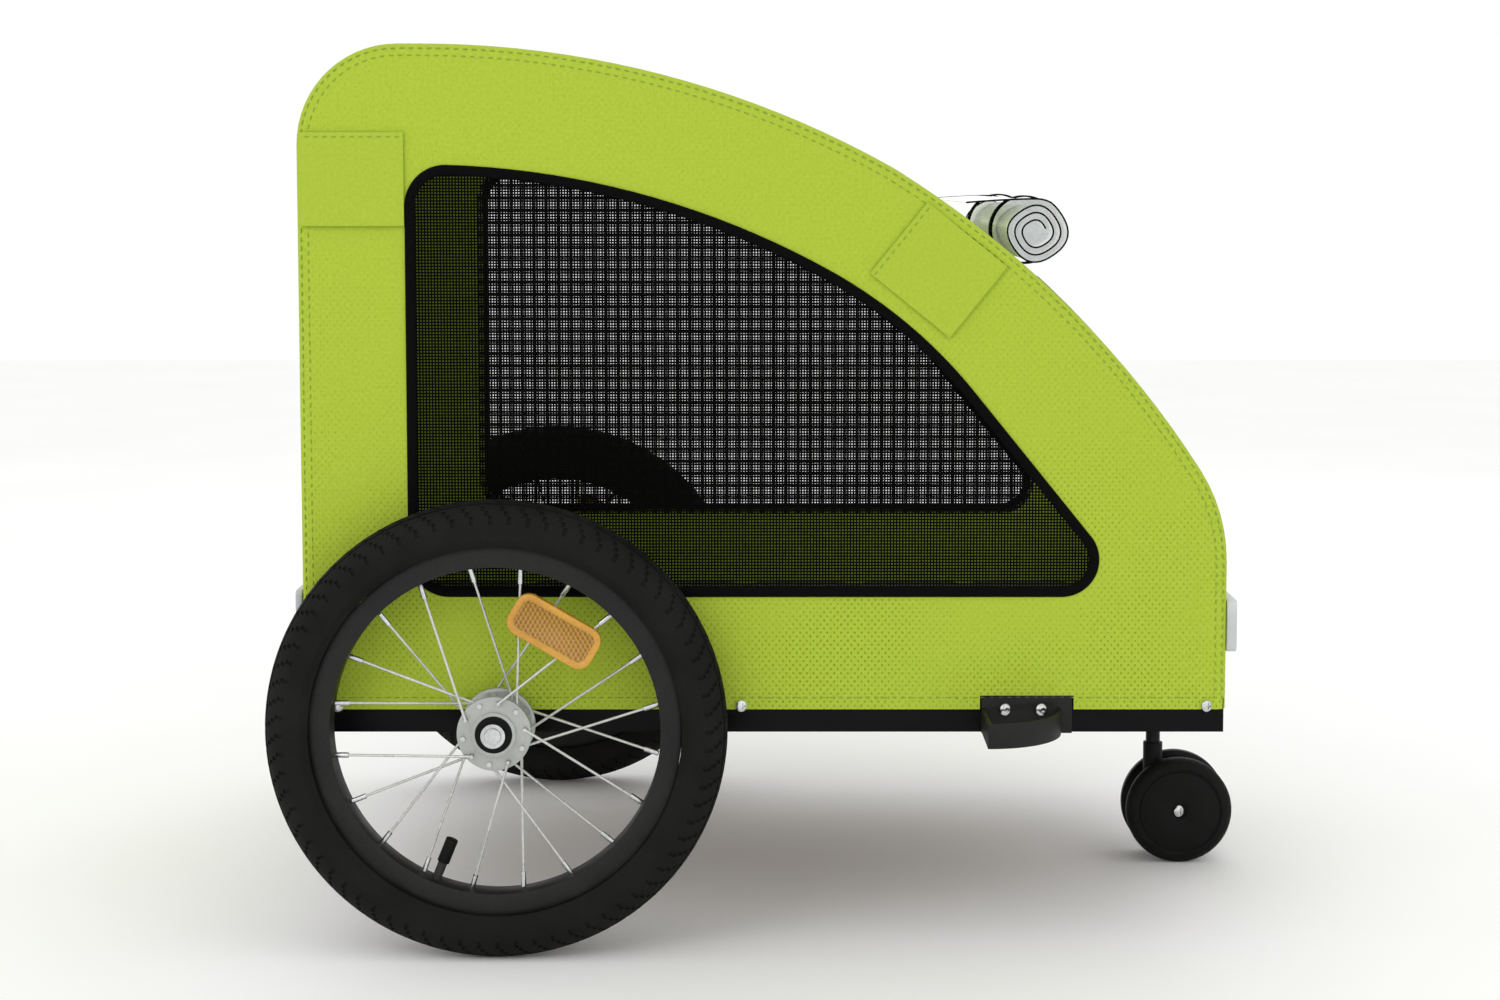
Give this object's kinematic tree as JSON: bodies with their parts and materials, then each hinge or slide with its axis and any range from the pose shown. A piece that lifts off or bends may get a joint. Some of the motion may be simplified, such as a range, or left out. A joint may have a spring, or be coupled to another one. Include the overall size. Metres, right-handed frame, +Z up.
{
  "type": "bicycle trailer",
  "caption": "Two-wheeled bicycle cargo trailer with an enclosed fabric cabin, side windows, a front doorway, quick-release wheels and a swivel caster at the nose.",
  "frame": {"origin": "on the ground, in the middle of the overall length and width", "axes": "+X to the trailer's front, +Y to its left side, +Z up"},
  "size_m": [0.8933, 0.7186, 0.791],
  "materials": {
    "frame_black": "satin black powder coat",
    "bracket_steel": "textured black powder coat",
    "board": "plain hardboard",
    "pad": "quilted grey nylon",
    "plug_plastic": "moulded grey nylon",
    "zinc": "bright zinc plate",
    "green_fabric": "lime coated polyester with a small box weave",
    "mesh": "black open mesh",
    "trim": "black webbing binding",
    "clear_film": "clear soft vinyl film with a black edge",
    "clear_reflector": "clear moulded reflector",
    "red_reflector": "red moulded reflector",
    "amber_reflector": "amber moulded reflector",
    "caster_black": "black moulded nylon",
    "stem_steel": "blackened steel",
    "tyre_rubber": "black rubber",
    "tube_rubber": "black butyl rubber",
    "cap_plastic": "black plastic",
    "rim_plastic": "black moulded rim",
    "spoke_steel": "bright steel",
    "hub_metal": "satin cast aluminium",
    "bearing": "dark steel with black seals",
    "axle_steel": "bright zinc plate"
  },
  "bodies": {
    "root": {"right_rail": "frame_black", "left_rail": "frame_black", "crossmembers": "frame_black", "axle_tube": "frame_black", "floor_board": "board", "floor_pad": "pad", "right_hoop": "frame_black", "left_hoop": "frame_black", "tube_plugs": "plug_plastic", "crossbars": "frame_black", "crossbar_screws": "zinc", "right_side_panel": "green_fabric", "left_side_panel": "green_fabric", "window_meshes": "mesh", "window_trims": "trim", "rear_panel": "green_fabric", "roof_panel": "green_fabric", "front_panel": "green_fabric", "doorway_trim": "trim", "rolled_cover": "clear_film", "cover_straps": "trim", "fabric_screws": "zinc", "hitch_bracket": "bracket_steel", "hitch_bolts": "bracket_steel", "front_reflectors": "clear_reflector", "rear_reflectors": "red_reflector", "caster_stem": "stem_steel", "right_axle": "axle_steel", "right_lock_balls": "bearing", "left_axle": "axle_steel", "left_lock_balls": "bearing"},
    "right_wheel": {"right_tyre": "tyre_rubber", "right_inner_tube": "tube_rubber", "right_valve_cap": "cap_plastic", "right_rim": "rim_plastic", "right_spokes": "spoke_steel", "right_nipples": "spoke_steel", "right_hub": "hub_metal", "right_bearings": "bearing", "right_spoke_reflector": "amber_reflector"},
    "right_button": {"right_release_button": "axle_steel"},
    "left_wheel": {"left_tyre": "tyre_rubber", "left_inner_tube": "tube_rubber", "left_valve_cap": "cap_plastic", "left_rim": "rim_plastic", "left_spokes": "spoke_steel", "left_nipples": "spoke_steel", "left_hub": "hub_metal", "left_bearings": "bearing", "left_spoke_reflector": "amber_reflector"},
    "left_button": {"left_release_button": "axle_steel"},
    "caster_fork": {"caster_fork": "caster_black", "caster_axle": "zinc", "caster_axle_screws": "zinc"},
    "right_caster_wheel": {"right_caster_wheel": "caster_black"},
    "right_rear_flap": {"right_rear_flap": "green_fabric"},
    "right_front_flap": {"right_front_flap": "green_fabric"},
    "left_caster_wheel": {"left_caster_wheel": "caster_black"},
    "left_rear_flap": {"left_rear_flap": "green_fabric"},
    "left_front_flap": {"left_front_flap": "green_fabric"}
  },
  "joints": [
    {"name": "right_wheel_spin", "type": "hinge", "parent": "root", "child": "right_wheel", "pos_m": [-0.2467, -0.325, 0.2], "axis": [0, 1, 0], "continuous": true},
    {"name": "right_button_press", "type": "slide", "parent": "root", "child": "right_button", "axis": [0, 1, 0], "range_m": [0, 0.0028], "stiffness_N_per_m": 800, "springref_m": -0.003},
    {"name": "left_wheel_spin", "type": "hinge", "parent": "root", "child": "left_wheel", "pos_m": [-0.2467, 0.325, 0.2], "axis": [0, 1, 0], "continuous": true},
    {"name": "left_button_press", "type": "slide", "parent": "root", "child": "left_button", "axis": [0, -1, 0], "range_m": [0, 0.0028], "stiffness_N_per_m": 800, "springref_m": -0.003},
    {"name": "caster_swivel", "type": "hinge", "parent": "root", "child": "caster_fork", "pos_m": [0.3713, 0, 0.1], "axis": [0, 0, 1], "continuous": true},
    {"name": "right_caster_spin", "type": "hinge", "parent": "caster_fork", "child": "right_caster_wheel", "pos_m": [0.3947, -0.019, 0.052], "axis": [0, 1, 0], "continuous": true},
    {"name": "left_caster_spin", "type": "hinge", "parent": "caster_fork", "child": "left_caster_wheel", "pos_m": [0.3947, 0.019, 0.052], "axis": [0, 1, 0], "continuous": true},
    {"name": "right_rear_flap_lift", "type": "hinge", "parent": "root", "child": "right_rear_flap", "pos_m": [-0.37, -0.2908, 0.7145], "axis": [-1, 0, 0], "range_deg": [0, 150]},
    {"name": "right_front_flap_lift", "type": "hinge", "parent": "root", "child": "right_front_flap", "pos_m": [0.1264, -0.2908, 0.6542], "axis": [-0.6293, 0, -0.7771], "range_deg": [0, 150]},
    {"name": "left_rear_flap_lift", "type": "hinge", "parent": "root", "child": "left_rear_flap", "pos_m": [-0.37, 0.2908, 0.7145], "axis": [1, 0, 0], "range_deg": [0, 150]},
    {"name": "left_front_flap_lift", "type": "hinge", "parent": "root", "child": "left_front_flap", "pos_m": [0.1264, 0.2908, 0.6542], "axis": [0.6293, 0, 0.7771], "range_deg": [0, 150]}
  ]
}
